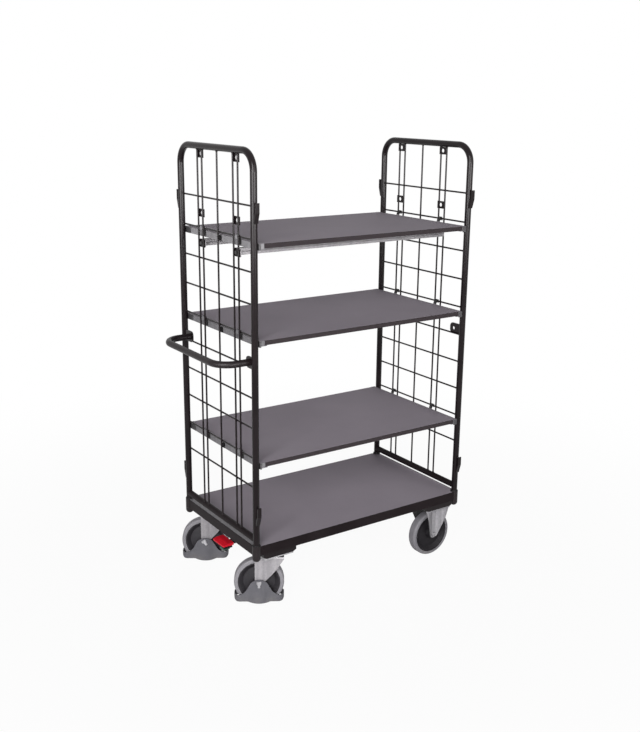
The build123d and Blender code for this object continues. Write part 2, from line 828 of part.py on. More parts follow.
def swivel_fork(base):
    """Pressed fork with legs that trail behind the kingpin and step out to the crown."""
    reach = trail + crown_reach
    knee = (trail + fork_tip_r + fork_sheet, wheel_r + trail + fork_tip_r)
    plan = leg_plan(reach)
    with BuildPart() as fork:
        with BuildSketch(side_of(base)):
            with BuildLine():
                flank = Polyline(
                    (-fork_tip_r, wheel_r),
                    (-fork_tip_r, crown_top),
                    (reach, crown_top),
                    (reach, crown_low - crown_thick),
                    knee,
                    (fork_tip_r, wheel_r),
                )
                ThreePointArc(flank @ 1, (0, wheel_r - fork_tip_r), flank @ 0)
            make_face()
        extrude(amount=bearing_d, both=True)
        with BuildSketch(base):
            with BuildLine():
                Polyline(*plan, close=True)
            make_face()
            mirror(about=Plane.XZ)
        extrude(amount=crown_top, mode=Mode.INTERSECT)
        with BuildSketch(base.offset(crown_low)):
            with BuildLine():
                edge = Polyline(*plan[4:])
                Line(edge @ 1, (-fork_tip_r, 0))
                Line((-fork_tip_r, 0), (reach, 0))
                Line((reach, 0), edge @ 0)
            make_face()
            mirror(about=Plane.XZ)
            with Locations((trail, 0)):
                Circle(kingpin_d / 2 + running_gap, mode=Mode.SUBTRACT)
        extrude(amount=crown_thick)
        rims = fork.edges().group_by(Axis.Z)[-1]
        fillet([rim for rim in rims if abs(base.to_local_coords(rim.center()).Y) > fork_half], radius=crown_bend)
        with BuildSketch(side_of(base, wheel_r)):
            Circle(axle_d / 2 + weld_gap)
        extrude(amount=bearing_d, both=True, mode=Mode.SUBTRACT)
    return fork


def swivel_head_pieces():
    """Top plates, ball races and hollow kingpins of the two swivel casters, one node of each."""
    heads = [(swivel_x, -caster_y), (swivel_x, caster_y)]
    flange_z = crown_low - slip_gap - kingpin_flange_h
    cap_z = channel_floor + kingpin_cap_h
    with BuildPart() as plates:
        with BuildSketch(Plane.XY.offset(caster_plate_z)):
            with Locations(*heads):
                caster_plate_sketch()
                Circle(kingpin_d / 2 + weld_gap, mode=Mode.SUBTRACT)
        extrude(amount=caster_plate_thick)
    with BuildPart() as bearings:
        with BuildSketch(Plane.XY.offset(crown_top + slip_gap)):
            with Locations(*heads):
                Circle(bearing_d / 2)
                Circle(kingpin_d / 2 + weld_gap, mode=Mode.SUBTRACT)
        extrude(amount=bearing_h - slip_gap)
        rims = bearings.edges().group_by(Axis.Z)[0].sort_by(SortBy.LENGTH)[-2:]
        chamfer(rims, length=bearing_h / 4)
    with BuildPart() as kingpins:
        with BuildSketch(Plane.XY.offset(flange_z)):
            with Locations(*heads):
                Circle(kingpin_flange_d / 2)
        extrude(amount=kingpin_flange_h)
        with BuildSketch(Plane.XY.offset(flange_z)):
            with Locations(*heads):
                Circle(kingpin_d / 2)
        extrude(amount=cap_z - flange_z)
        with BuildSketch(Plane.XY.offset(channel_floor)):
            with Locations(*heads):
                Circle(kingpin_cap_d / 2)
        extrude(amount=kingpin_cap_h)
        with BuildSketch(Plane.XY.offset(flange_z)):
            with Locations(*heads):
                Circle(plunger_d / 2 + running_gap)
        extrude(amount=cap_z - flange_z, mode=Mode.SUBTRACT)
    return plates, bearings, kingpins


def brake_plunger(base):
    """Rod through the kingpin with a head under the cam and a shoe over the tyre."""
    shoe_top = crown_low - 2 * slip_gap - kingpin_flange_h - shoe_free
    with BuildPart() as plunger:
        with BuildSketch(side_of(base)):
            with Locations((trail, shoe_top)):
                Rectangle(shoe_length, wheel_r / 2, align=(Align.CENTER, Align.MAX))
            with Locations((0, wheel_r + brake_travel)):
                Circle(wheel_r + shoe_gap, mode=Mode.SUBTRACT)
        extrude(amount=shoe_width / 2, both=True)
        with BuildSketch(Plane(origin=base.from_local_coords((trail, 0, shoe_top)))):
            Circle(plunger_d / 2)
        extrude(amount=plunger_top - shoe_top)
        with BuildSketch(Plane(origin=base.from_local_coords((trail, 0, plunger_top)))):
            Circle(plunger_head_d / 2)
        extrude(amount=-plunger_head_h)
    return plunger


def foot_guard(base):
    """Moulded guard: a skirt round the wheel with two bell-shaped cheeks that rise to the axle."""
    half = guard_length / 2
    side_y = guard_width / 2
    lead_r = guard_bulge / 2 / (1 - cos(radians(guard_bulge_turn)))
    lobe_drop = guard_low - guard_lobe_low
    lobe_r = (guard_lobe_half**2 + lobe_drop**2) / (4 * lobe_drop)
    lobe_turn = degrees(2 * atan(lobe_drop / guard_lobe_half))
    lean = radians(guard_lean)
    ear_top = wheel_r + guard_ear_rise
    ear_z = ear_top - guard_ear_r
    flank_top = (guard_ear_r * sin(lean), ear_z + guard_ear_r * cos(lean))
    bell_x = half - guard_brim
    bell_r = (bell_x - flank_top[0] - (flank_top[1] - guard_top) / tan(lean)) / tan(lean / 2)
    with BuildPart() as guard:
        with BuildSketch(base.offset(guard_lobe_low)):
            with BuildLine():
                bulge = Line((0, side_y + guard_bulge), (guard_bulge_half, side_y + guard_bulge))
                away = JernArc(bulge @ 1, bulge % 1, lead_r, -guard_bulge_turn)
                along = JernArc(away @ 1, away % 1, lead_r, guard_bulge_turn)
                flat = Line(along @ 1, (half - guard_corner, side_y))
                corner = JernArc(flat @ 1, flat % 1, guard_corner, -90)
                Line(corner @ 1, (half, 0))
                mirror(about=Plane.YZ)
                mirror(about=Plane.XZ)
            make_face()
            offset(amount=-guard_wall, mode=Mode.SUBTRACT)
        extrude(amount=ear_top - guard_lobe_low)
        with BuildSketch(side_of(base)):
            with BuildLine():
                lobe = JernArc((0, guard_lobe_low), (1, 0), lobe_r, lobe_turn)
                rise = JernArc(lobe @ 1, lobe % 1, lobe_r, -lobe_turn)
                sole = Line(rise @ 1, (half - guard_toe, guard_low))
                toe = JernArc(sole @ 1, sole % 1, guard_toe, 90)
                end = Line(toe @ 1, (half, guard_top))
                brim = Line(end @ 1, (bell_x, guard_top))
                bell = JernArc(brim @ 1, brim % 1, bell_r, -guard_lean)
                flank = Line(bell @ 1, flank_top)
                JernArc(flank @ 1, flank % 1, guard_ear_r, guard_lean)
                mirror(about=Plane.YZ)
            make_face()
        extrude(amount=guard_width, both=True, mode=Mode.INTERSECT)
        for turn in (-1, 1):
            with BuildSketch(side_of(base, wheel_r).offset(turn * (fork_half + fork_sheet + weld_gap))):
                Circle(guard_boss_d / 2)
            extrude(amount=turn * (side_y + guard_bulge - guard_wall / 2 - fork_half - fork_sheet - weld_gap))
        with BuildSketch(side_of(base, wheel_r)):
            Circle(axle_d / 2 + weld_gap)
        extrude(amount=guard_width, both=True, mode=Mode.SUBTRACT)
    return guard


for head_piece, name in zip(swivel_head_pieces(), ("plates", "bearings", "kingpins")):
    save(head_piece, f"swivel_{name}")

roll = (cos(radians(swivel_turn)), -sin(radians(swivel_turn)))
straight_bases = []
for side, place, key_turn in ((-1, "front", 0), (1, "rear", rear_key_turn)):
    foot = (swivel_x - trail * roll[0], side * caster_y - trail * roll[1], 0)
    turned = Plane(origin=foot, x_dir=(*roll, 0), z_dir=(0, 0, 1))
    save(swivel_fork(turned), f"{place}_swivel_fork")
    save(foot_guard(turned), f"{place}_foot_guard")
    save(wheel_axle([turned], guard_width / 2 + guard_bulge, key_thick, key_turn), f"{place}_swivel_axle")
    save(wheel_hub(turned), f"{place}_swivel_hub")
    save(wheel_tyre(turned), f"{place}_swivel_tyre")
    save(brake_plunger(turned), f"{place}_brake_plunger")
    straight = Plane(origin=(fixed_x, side * caster_y, 0))
    straight_bases.append(straight)
    save(fixed_fork(straight), f"{place}_fixed_fork")
    save(wheel_hub(straight), f"{place}_fixed_hub")
    save(wheel_tyre(straight), f"{place}_fixed_tyre")
save(wheel_axle(straight_bases, fork_half + fork_sheet, fork_sheet), "fixed_axles")

# Foot brake: a shaft across the swivel channel, a cam over each plunger and a lever with two pads

shaft_half = caster_y + brake_shaft_overhang
pedal_top = deck_z - pedal_drop
lever_top = pedal_top - pedal_thick
across = Plane(origin=(shaft_x, 0, shaft_z), x_dir=(1, 0, 0), z_dir=(0, -1, 0))
carrier_x = shaft_x - pedal_outer + carrier_inset

with BuildPart() as brake_shaft:
    with BuildSketch(across):
        Circle(brake_shaft_d / 2)
    extrude(amount=shaft_half, both=True)
    for side in (-1, 1):
        with BuildSketch(across.offset(side * caster_y)):
            Circle(cam_hub_d / 2)
            with Locations((-brake_arm, 0)):
                Circle(cam_nose_d / 2)
            with Locations((-brake_arm / 2, 0)):
                Rectangle(brake_arm, cam_nose_d)
        extrude(amount=cam_width / 2, both=True)
    with BuildSketch(across):
        Circle(cam_hub_d / 2)
        Rectangle(lever_thick, shaft_z - lever_top + lever_thick, align=(Align.CENTER, Align.MAX))
        with Locations((lever_thick / 2, lever_top - shaft_z)):
            Rectangle(pedal_outer - carrier_inset, lever_thick, align=(Align.MAX, Align.MAX))
    extrude(amount=lever_width / 2, both=True)
    with BuildSketch(Plane.XY.offset(lever_top)):
        with Locations((carrier_x, pedal_shift)):
            Rectangle(
                pedal_length - 2 * carrier_inset,
                pedal_width - 2 * carrier_inset,
                align=(Align.MIN, Align.CENTER),
            )
    extrude(amount=-carrier_thick)
save(brake_shaft, "brake_shaft")

pedal_side = Plane(
    origin=(shaft_x - pedal_outer, pedal_shift, lever_top), x_dir=(1, 0, 0), z_dir=(0, -1, 0)
)
with BuildPart() as brake_pedal:
    with BuildSketch(pedal_side):
        with BuildLine():
            Polyline(
                (0, 0),
                (pedal_length, 0),
                (pedal_length, pedal_thick),
                (pedal_slope, pedal_thick),
                (0, pedal_nose),
                close=True,
            )
        make_face()
    extrude(amount=pedal_width / 2, both=True)
    fillet(brake_pedal.edges().filter_by(Axis.Z), radius=pedal_thick / 2)
    fillet(brake_pedal.faces().sort_by(Axis.Z)[-1].edges(), radius=pedal_thick / 6)
save(brake_pedal, "brake_pedal")

with BuildPart() as release_pedal:
    with BuildSketch(Plane.XY.offset(lever_top - carrier_thick)):
        with Locations((carrier_x, pedal_shift - pedal_width / 2 + 2 * carrier_inset)):
            Rectangle(release_length, release_width, align=(Align.MIN, Align.MIN))
    extrude(amount=-release_thick)
    fillet(release_pedal.edges().filter_by(Axis.Z), radius=release_thick / 2)
    fillet(release_pedal.edges().group_by(Axis.Z)[0], radius=release_thick / 4)
save(release_pedal, "release_pedal")
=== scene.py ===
# %% [markdown]
# # A shelf trolley, dressed for its picture
# The shapes of this trolley come from its CAD model: tubes, wire mesh, boards, casters. They load
# as a fixed frame, so every finish and every small part made here lands exactly where the solid
# pieces are.

# %% Load the solid model
import json
from math import pi

import bmesh
import bpy
from mathutils import Matrix, Vector


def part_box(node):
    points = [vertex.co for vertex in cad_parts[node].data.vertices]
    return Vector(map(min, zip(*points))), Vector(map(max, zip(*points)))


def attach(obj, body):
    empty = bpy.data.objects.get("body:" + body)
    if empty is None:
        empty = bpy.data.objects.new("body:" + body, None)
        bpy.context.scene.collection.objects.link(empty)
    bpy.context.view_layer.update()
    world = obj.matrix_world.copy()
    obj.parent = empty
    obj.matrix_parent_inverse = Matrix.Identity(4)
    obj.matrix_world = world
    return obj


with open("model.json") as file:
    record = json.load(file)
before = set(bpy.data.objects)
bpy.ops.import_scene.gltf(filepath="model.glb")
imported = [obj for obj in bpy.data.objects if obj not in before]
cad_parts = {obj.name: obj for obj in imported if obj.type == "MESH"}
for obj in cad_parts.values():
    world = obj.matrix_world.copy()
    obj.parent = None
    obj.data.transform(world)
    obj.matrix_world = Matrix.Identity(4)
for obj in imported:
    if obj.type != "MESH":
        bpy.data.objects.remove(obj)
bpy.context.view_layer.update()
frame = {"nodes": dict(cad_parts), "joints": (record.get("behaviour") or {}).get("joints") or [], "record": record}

nodes = frame["nodes"]
scene = bpy.context.scene

# %% [markdown]
# ## Camera
# The picture looks at the trolley from its push-handle end, from a little above its top tubes. A
# camera can be aimed at a point, but then it stands level. Here its three axes are written out as a
# rotation, because then its small roll is exact too. The lens length belongs to a 36 mm sensor
# along the taller side of the picture.

# %% Camera
eye_right = Vector((0.8260, -0.5635, 0.00998)).normalized()
eye_back = Vector((-0.5455, -0.7948, 0.2659)).normalized()
eye_up = eye_back.cross(eye_right).normalized()
eye_right = eye_up.cross(eye_back)
eye_place = Vector((-1.86625, -2.763, 1.6659))
sensor_mm = 36.0
lens_mm = 48.31
view_reach = 60.0

lens_data = bpy.data.cameras.new("picture_camera")
lens_data.sensor_width = sensor_mm
lens_data.lens = lens_mm
lens_data.clip_end = view_reach
camera = bpy.data.objects.new("picture_camera", lens_data)
turn = Matrix((eye_right, eye_up, eye_back)).transposed().to_4x4()
camera.matrix_world = Matrix.Translation(eye_place) @ turn
scene.collection.objects.link(camera)
scene.camera = camera
print("camera at", [round(v, 3) for v in eye_place], "lens", lens_mm)

# %% [markdown]
# ## Shader maths as plain expressions
# Finishes are built from node graphs. Wrapping a socket in a small class lets the graphs be written
# as sums and products: each operator adds one Math node. One method adds every other kind of node,
# so there is a single place where nodes are made and wired.

# %% A wrapped socket


class Shade:
    """A shader value. Maths on it adds Math nodes, and add() makes any other node."""

    def __init__(self, tree, socket=None):
        self.tree = tree
        self.socket = socket

    def add(self, kind, settings=None, inputs=None, out=0):
        """Make a node: its settings come first, then the values or links of its sockets."""
        node = self.tree.nodes.new(kind)
        for key, value in (settings or {}).items():
            setattr(node, key, value)
        for key, value in (inputs or {}).items():
            self.feed(node.inputs[key], value)
        return Shade(self.tree, node.outputs[out] if node.outputs else None)

    def feed(self, slot, value):
        """Link a shader value to a socket, or set the socket to a plain value."""
        if isinstance(value, Shade):
            self.tree.links.new(value.socket, slot)
        else:
            slot.default_value = value

    def maths(self, operation, a, b):
        return self.add("ShaderNodeMath", {"operation": operation}, {0: a, 1: b})

    def __add__(self, other):
        return self.maths("ADD", self, other)

    __radd__ = __add__

    def __sub__(self, other):
        return self.maths("SUBTRACT", self, other)

    def __rsub__(self, other):
        return self.maths("SUBTRACT", other, self)

    def __mul__(self, other):
        return self.maths("MULTIPLY", self, other)

    __rmul__ = __mul__

    def __abs__(self):
        return self.maths("ABSOLUTE", self, 0.0)

    def __gt__(self, level):
        return self.maths("GREATER_THAN", self, level)

    def most(self, other):
        """The larger of two values."""
        return self.maths("MAXIMUM", self, other)

    def along(self, axis):
        """One coordinate of a vector: 0, 1 or 2."""
        return self.add("ShaderNodeSeparateXYZ", None, {0: self}, out=axis)

    def step(self, low, high):
        """0 below low, 1 above high, smooth in between."""
        return self.add(
            "ShaderNodeMapRange",
            {"interpolation_type": "SMOOTHSTEP"},
            {"Value": self, "From Min": low, "From Max": high},
        )

    def past(self, edge, soft):
        """0 before an edge, 1 past it, with a soft change on both sides of it."""
        return self.step(edge - soft, edge + soft)

    def noise(self, scale, detail=2.0, roughness=0.5):
        return self.add(
            "ShaderNodeTexNoise",
            None,
            {"Vector": self, "Scale": scale, "Detail": detail, "Roughness": roughness},
        )

    def tint(self, low, high):
        """A colour between low and high, by this value."""
        return self.add("ShaderNodeMix", {"data_type": "RGBA"}, {0: self, 6: low, 7: high}, out=2)

    def bump(self, strength, distance):
        return self.add(
            "ShaderNodeBump", None, {"Height": self, "Strength": strength, "Distance": distance}
        )


print("shader helper ready")

# %% [markdown]
# ## Colours and new finishes
# A colour is easy to note as a hex text, as paint programs show it. Blender counts in linear light,
# so a short formula turns one into the other. Every finish starts alike: a material with Blender's
# Principled shader, and the place on the piece, from which all patterns grow.

# %% Colours and new finishes


def colour(text):
    """A scene colour from a hex text such as 716d72."""
    parts = [int(text[i:i + 2], 16) / 255 for i in (0, 2, 4)]
    linear = [p / 12.92 if p <= 0.04045 else ((p + 0.055) / 1.055) ** 2.4 for p in parts]
    return (*linear, 1.0)


def new_finish(name, gloss=0.5):
    """A material, the place on the piece that wears it, and a call that wires its shader."""
    finish = bpy.data.materials.new(name)
    finish.use_nodes = True
    shader = finish.node_tree.nodes["Principled BSDF"]
    shader.inputs["Specular IOR Level"].default_value = gloss
    place = Shade(finish.node_tree).add("ShaderNodeTexCoord", out="Object")

    def wire(**values):
        for key, value in values.items():
            place.feed(shader.inputs[key.replace("_", " ").title()], value)

    return finish, place, wire


print("mid grey in linear light:", round(colour("808080")[0], 3))

# %% [markdown]
# ## Powder coat
# The tubes, wires and base are steel with a baked powder coat in a warm near-black. Such a coat has
# a fine orange-peel skin that breaks up its reflections, and slightly duller patches. Two noises do
# that: a fine one for the skin, a broad one for the patches. It is made in three states: fresh on
# the walls, rubbed by hands and knocks on the push handle and the corner sockets, and scuffed dull
# by shoes and loads on the rails of the base and on the crossbars.

# %% Powder coat


def powder_coat(name, dark, light, dull, gloss):
    finish, place, wire = new_finish(name, gloss)
    skin = place.noise(scale=1400.0)
    patch = place.noise(scale=9.0, detail=3.0)
    wire(
        base_color=patch.step(low=0.3, high=0.7).tint(colour(dark), colour(light)),
        roughness=dull + 0.12 * patch + 0.08 * skin,
        normal=skin.bump(strength=0.06, distance=0.0006),
    )
    return finish


frame_finish = powder_coat("powder_coat", "130d0f", "1a1416", dull=0.07, gloss=0.16)
rubbed_finish = powder_coat("powder_coat_rubbed", "171113", "1f191b", dull=0.30, gloss=0.19)
scuffed_finish = powder_coat("powder_coat_scuffed", "150f11", "1c1618", dull=0.34, gloss=0.06)
print("made", frame_finish.name, rubbed_finish.name, scuffed_finish.name)

# %% [markdown]
# ## Film-faced boards
# Deck and shelves are boards with a grey resin film on their faces and dark sealed edges. The face
# or edge follows from the surface normal: faces look straight up or down. A fine speckle and a few
# faint scuffs keep the film from looking like plain paint.

# %% Boards


def film_board(name, face, face_worn, edge, edge_worn):
    finish, place, wire = new_finish(name, gloss=0.12)
    normal = place.add("ShaderNodeNewGeometry", out="Normal")
    is_face = abs(normal.along(2)).step(low=0.55, high=0.75)
    speckle = place.noise(scale=900.0, detail=3.0, roughness=0.6)
    cloud = place.noise(scale=3.0, detail=4.0)
    worn = (0.55 * cloud + 0.45 * speckle).step(low=0.3, high=0.7)
    film = worn.tint(colour(face), colour(face_worn))
    layers = place.add(
        "ShaderNodeTexWave",
        {"wave_type": "BANDS", "bands_direction": "Z"},
        {"Vector": place, "Scale": 130.0, "Distortion": 1.5, "Detail": 2.0},
        out="Fac",
    )
    rim = layers.tint(colour(edge), colour(edge_worn))
    wire(
        base_color=is_face.tint(rim, film),
        roughness=0.62 + 0.1 * cloud + 0.06 * speckle,
        normal=speckle.bump(strength=0.1, distance=0.0004),
    )
    return finish


board_finish = film_board("film_board", "817a82", "8d868e", "292325", "322c2f")
print("made", board_finish.name)

# %% [markdown]
# ## Painted shade on bare steel
# Not all of the bare steel is bright. Three places are painted dark as shade: the top of a swivel
# fork's crown under its plate, the inner sides of a fixed fork with the near rim of its plate, and
# the neck of a shelf hook against the sheet and wires. Such places could be painted on pictures for
# the pieces. A function of the place needs no picture and stays sharp from near by. Each function
# gives 1 where it is painted dark and 0 elsewhere.

# %% Painted shade places
soft_edge = 0.0002
crown_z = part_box("front_swivel_fork")[1][2]
# Painted shade: how far down the top of a swivel fork's crown is painted dark.
crown_shade_depth = 0.0040

tyre_low, tyre_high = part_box("front_fixed_tyre")
wheel_y = abs(tyre_low[1] + tyre_high[1]) / 2
fork_low, fork_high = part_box("front_fixed_fork")
cheek_inner = 0.0240
# Painted shade: the sizes of the dark band on a fixed fork's inner cheeks and plate rim.
cheek_shade_margin = 0.0005
cheek_soft = 0.0003
rim_width = 0.0004
inner_shade_depth = 0.070
inner_shade_fade = 0.010

ends_low, ends_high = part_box("top_shelf_ends")
ends_middle = (ends_low[0] + ends_high[0]) / 2
hook_reach = (ends_high[0] - ends_low[0]) / 2
neck_start = hook_reach - 0.0157
neck_end = hook_reach - 0.00325
tip_soft = 0.00015


def crown_painted_shade(place):
    """Painted shade on the top of a swivel fork's crown, which lies in the shadow of the plate."""
    return place.along(2).past(crown_z - crown_shade_depth, soft_edge)


def fork_painted_shade(place):
    """Painted shade between a fixed fork's cheeks, high on its inner cheek, and on the near rim of its plate."""
    out = abs(place.along(1)) - wheel_y
    between = 1.0 - abs(out).past(cheek_inner + cheek_shade_margin, cheek_soft)
    high_up = place.along(2).past(fork_high[2] - inner_shade_depth, inner_shade_fade)
    inner_cheek = (1.0 - out.past(0.0, inner_shade_fade)) * high_up
    plate_rim = 1.0 - place.along(0).past(fork_low[0] + rim_width, soft_edge)
    return between.most(inner_cheek).most(plate_rim)


def neck_painted_shade(place):
    """Painted shade on the stretch of a shelf hook between the shelf's sheet and the hook's tip."""
    out = abs(place.along(0) - ends_middle)
    return out.past(neck_start, soft_edge) - out.past(neck_end, tip_soft)


print("fork crown at", round(crown_z, 4), "fixed wheels at y", round(wheel_y, 4))

# %% [markdown]
# ## Zinc-plated steel
# Shelf ends, tie rails and caster forks are bare steel with a zinc coat: light grey and half shiny.
# Voronoi cells give faint crystal patches. A noise stretched along the height gives soft upright
# bands, the marks that a press leaves where it bends a sheet. One recipe with a few values serves
# all of these pieces, so they differ in tone and still look like one metal. The black bolts use it
# too, with dark tones.

# %% Zinc finishes


def zinc_coat(name, dark, light, dull, shine, shade_mask=None):
    finish, place, wire = new_finish(name)
    cells = place.add("ShaderNodeTexVoronoi", None, {"Vector": place, "Scale": 240.0}, out="Color")
    flake = cells.along(0)
    drawn = place.add("ShaderNodeMapping", None, {"Vector": place, "Scale": (1.0, 1.0, 0.05)})
    band = drawn.noise(scale=75.0, detail=1.0)
    plated = (0.8 * band + 0.2 * flake).step(low=0.25, high=0.75).tint(colour(dark), colour(light))
    rough = dull + 0.06 * flake + 0.08 * band
    # Painted shade: where the mask is 1, the coat turns near-black, duller and less metallic.
    if shade_mask:
        shade_amount = shade_mask(place)
        plated = shade_amount.tint(plated, colour("131112"))
        rough = rough + 0.4 * shade_amount
        shine = shine * (1.0 - shade_amount)
    normal = band.bump(strength=0.04, distance=0.0003)
    wire(base_color=plated, metallic=shine, roughness=rough, normal=normal)
    return finish


# Each line says the name, two tones, how dull and how metallic it is, and its mask of painted shade.
zinc_finish = zinc_coat("zinc_sheet", "8f8d90", "a3a1a4", 0.36, 0.3)
end_finish = zinc_coat("zinc_shelf_end", "757376", "868487", 0.6, 0.1, neck_painted_shade)
# Painted shade: the middle and lower shelf ends get darker tones than the top ones, for the shelves above them.
shaded_low_end_finish = zinc_coat("zinc_low_shelf_end_painted_shade", "5c5a5d", "6c6a6d", 0.6, 0.1, neck_painted_shade)
painted_light_strip_finish = zinc_coat("zinc_painted_light", "646265", "767477", 0.5, 0.2)
rail_finish = zinc_coat("zinc_rail", "827f82", "969396", 0.36, 0.3)
fork_finish = zinc_coat("zinc_fork", "868387", "999699", 0.34, 0.35, crown_painted_shade)
# Painted shade: the rear swivel fork is darker than the front one, as it stands under the deck.
shaded_rear_fork_finish = zinc_coat("zinc_fork_rear_painted_shade", "767377", "898689", 0.36, 0.35, crown_painted_shade)
# Painted shade: the fixed forks are darker than the swivel ones, with their inner cheeks and plate rim painted
# dark.
shaded_fixed_fork_finish = zinc_coat("zinc_fork_fixed_painted_shade", "727074", "8b898c", 0.38, 0.35, fork_painted_shade)
bolt_finish = zinc_coat("zinc_bolt", "9b9a9d", "b0afb2", 0.3, 0.5)
black_bolt_finish = zinc_coat("black_bolt", "1b191a", "282627", 0.4, 0.2)
print("made", zinc_finish.name, end_finish.name, rail_finish.name, fork_finish.name)

# %% [markdown]
# ## Moulded rubber and plastic
# Tyres, hubs, foot guards and pedals are moulded. Each has a fine grain from its mould. The grain
# is much too fine to model, so a bump in the shader stands for it. Tyres and guards also pick up a
# little dust near the floor, so their colour shifts with height.

# %% Moulded pieces
dust_height = 0.06
dust_share = 0.5


def moulded(name, low, high, dull, grain, gloss=0.5, dust=None):
    finish, place, wire = new_finish(name, gloss)
    pores = place.noise(scale=grain, detail=3.0, roughness=0.6)
    cloud = place.noise(scale=28.0)
    body = (0.5 * pores + 0.5 * cloud).step(low=0.3, high=0.7).tint(colour(low), colour(high))
    if dust:
        near_floor = 1.0 - place.along(2).step(0.0, dust_height)
        dusty = near_floor * cloud.step(low=0.35, high=0.75) * dust_share
        body = dusty.tint(body, colour(dust))
    wire(
        base_color=body,
        roughness=dull + 0.1 * cloud + 0.08 * pores,
        normal=pores.bump(strength=0.15, distance=0.0004),
    )
    return finish


# Each line says the name, two tones, how dull it is, its grain, then its gloss and its dust.
tyre_finish = moulded("tyre_rubber", "757378", "838185", 0.6, 700.0, 0.25, "706d6a")
# Painted shade: the fixed wheels get a darker copy of the tyre rubber.
shaded_fixed_tyre_finish = moulded("tyre_rubber_painted_shade", "666469", "747276", 0.6, 700.0, 0.25, "686562")
hub_finish = moulded("hub_plastic", "1f1d20", "29272b", 0.42, 900.0, 0.2)
# Painted shade: the fixed wheels get a darker copy of the hub plastic.
shaded_fixed_hub_finish = moulded("hub_plastic_painted_shade", "141215", "1b191c", 0.5, 900.0, 0.1)
guard_finish = moulded("guard_plastic", "4f4e53", "5a595e", 0.5, 1100.0, 0.25, "5f5c59")
seal_finish = moulded("seal_rubber", "131213", "1b191b", 0.55, 800.0, 0.1)
corner_shade_finish = moulded("corner_painted_shade", "2b292b", "363436", 0.5, 800.0)
red_finish = moulded("pedal_red", "bb0921", "d00e24", 0.42, 900.0, 0.3)
green_finish = moulded("pedal_green", "1f4432", "2a543e", 0.4, 900.0)
print("made", tyre_finish.name, hub_finish.name, guard_finish.name, red_finish.name)

# %% [markdown]
# ## Finish on every solid piece
# The record of the trolley says which material slot each piece uses. Most slots map to one finish.
# A few pieces share a slot but differ in tone, so they are picked by name: the push handle and the
# corner sockets, the rails of the base and the crossbars, the forks, the shelf ends, the fixed
# wheels, and the tie rails with their black bolts. The darker tones of the rear swivel fork, the
# fixed forks, the middle and lower shelf ends and the fixed wheels are painted shade. Conditions in
# the loop could pick them too, but a table is easier to read and to change.

# %% Put the finishes on
slot_finish = {
    "frame_paint": frame_finish,
    "board_grey": board_finish,
    "zinc": zinc_finish,
    "fastener_steel": bolt_finish,
    "seal_black": seal_finish,
    "tyre_grey": tyre_finish,
    "hub_black": hub_finish,
    "guard_grey": guard_finish,
    "pedal_red": red_finish,
    "pedal_green": green_finish,
}
picked = (
    (rubbed_finish, ("push_handle", "corner_sockets")),
    (scuffed_finish, ("front_rail", "rear_rail", "handle_end_rail", "fixed_end_rail")),
    (scuffed_finish, ("handle_wall_crossbar", "plain_wall_crossbar")),
    (fork_finish, ("front_swivel_fork",)),
    (shaded_rear_fork_finish, ("rear_swivel_fork",)),
    (shaded_fixed_fork_finish, ("front_fixed_fork", "rear_fixed_fork", "fixed_axles")),
    (end_finish, ("top_shelf_ends",)),
    (shaded_low_end_finish, ("middle_shelf_ends", "lower_shelf_ends")),
    (rail_finish, ("front_tie_rail", "rear_tie_rail")),
    (black_bolt_finish, ("tie_rail_bolts",)),
    (shaded_fixed_hub_finish, ("front_fixed_hub", "rear_fixed_hub")),
    (shaded_fixed_tyre_finish, ("front_fixed_tyre", "rear_fixed_tyre")),
)
piece_finish = {name: finish for finish, names in picked for name in names}
piece_slot = {part["node"]: part["material_slot"] for part in frame["record"]["subparts"]}
for name, piece in nodes.items():
    for slot in piece.material_slots:
        slot.material = piece_finish.get(name, slot_finish[piece_slot[name]])
print("dressed", len(nodes), "pieces,", len(piece_finish), "of them by name")

# %% [markdown]
# ## Small turned parts
# Washers, seals, weld beads and moulded rings are all round, so one helper makes them: it draws a
# closed profile of a few points and spins it once round an axis. A second helper turns the finished
# bmesh into a piece that rides on one body of the trolley and carries a finish.

# %% Helpers for small parts


def turned(shape, place, axis, profile, steps=14):
    """Spin a closed profile of (radius, height) points once round an axis through a place."""
    axis = Vector(axis).normalized()
    out = axis.orthogonal().normalized()
    start = Vector(place)
    spots = [shape.verts.new(start + out * radius + axis * height) for radius, height in profile]
    edges = [shape.edges.new(pair) for pair in zip(spots, spots[1:] + spots[:1])]
    bmesh.ops.spin(
        shape, geom=spots + edges, cent=place, axis=axis, angle=2 * pi, steps=steps, use_merge=True
    )


def finish_piece(shape, name, body, finish):
    """Make an object of a bmesh, let it ride on a body and give it its finish."""
    bmesh.ops.remove_doubles(shape, verts=shape.verts[:], dist=1e-6)
    bmesh.ops.recalc_face_normals(shape, faces=shape.faces[:])
    mesh = bpy.data.meshes.new(name)
    shape.to_mesh(mesh)
    shape.free()
    mesh.materials.append(finish)
    piece = bpy.data.objects.new(name, mesh)
    scene.collection.objects.link(piece)
    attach(piece, body)
    print(name, "faces:", len(mesh.polygons))


print("helpers for small parts ready")

# %% [markdown]
# ## Weld beads
# On the real walls every wire is welded where it meets the tube, and the coat covers a small bead
# of weld there. A ring of five profile points round each wire end is enough to catch the light. The
# heights follow the wall: the highest row hangs below the top tube and the rows are 100 mm apart.
# Crossing wires melt a little into each other, so rows and uprights lie on either side of the
# wall's plane.

# %% Weld beads on both walls
tube_r = 0.011
wire_r = 0.003
wire_layer = 0.0027
row_count = 10
row_pitch = 0.1
highest_row_drop = 0.1606
middle_wire = -0.018
pair_centres = (-0.133, 0.097)
pair_gap = 0.030
bead_thick = 0.0016
bead_steps = 10


